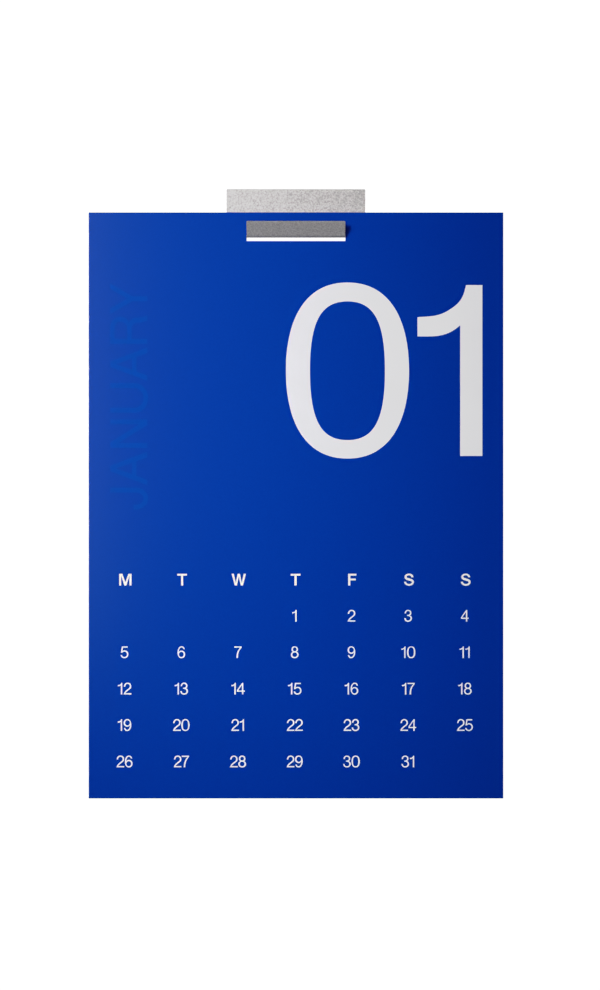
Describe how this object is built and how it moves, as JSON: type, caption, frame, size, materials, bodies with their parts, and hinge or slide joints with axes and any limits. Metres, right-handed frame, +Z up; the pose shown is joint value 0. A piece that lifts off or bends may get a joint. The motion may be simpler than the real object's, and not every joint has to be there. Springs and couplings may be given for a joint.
{
  "type": "wall calendar",
  "caption": "Upright wall calendar of loose month sheets that hang by a slot on the folded tongue of a sheet-metal hanger.",
  "frame": {"origin": "on the wall, midway between the hanger's two screw holes, at the plate's rear face", "axes": "+X to the right of someone who faces the calendar, +Y into the wall, +Z up"},
  "size_m": [0.2974, 0.0148, 0.4373],
  "materials": {
    "printed_paper": "satin ink on heavy paper, white at the edges and on the back",
    "plain_paper": "matte",
    "hanger_metal": "blasted and sealed, fine speckle"
  },
  "bodies": {
    "root": {"hanger": "hanger_metal", "january_sheet": "printed_paper", "february_sheet": "plain_paper", "march_sheet": "plain_paper", "april_sheet": "plain_paper", "may_sheet": "plain_paper", "june_sheet": "plain_paper", "july_sheet": "plain_paper", "august_sheet": "plain_paper", "september_sheet": "plain_paper", "october_sheet": "plain_paper", "november_sheet": "plain_paper", "december_sheet": "plain_paper"}
  },
  "joints": []
}
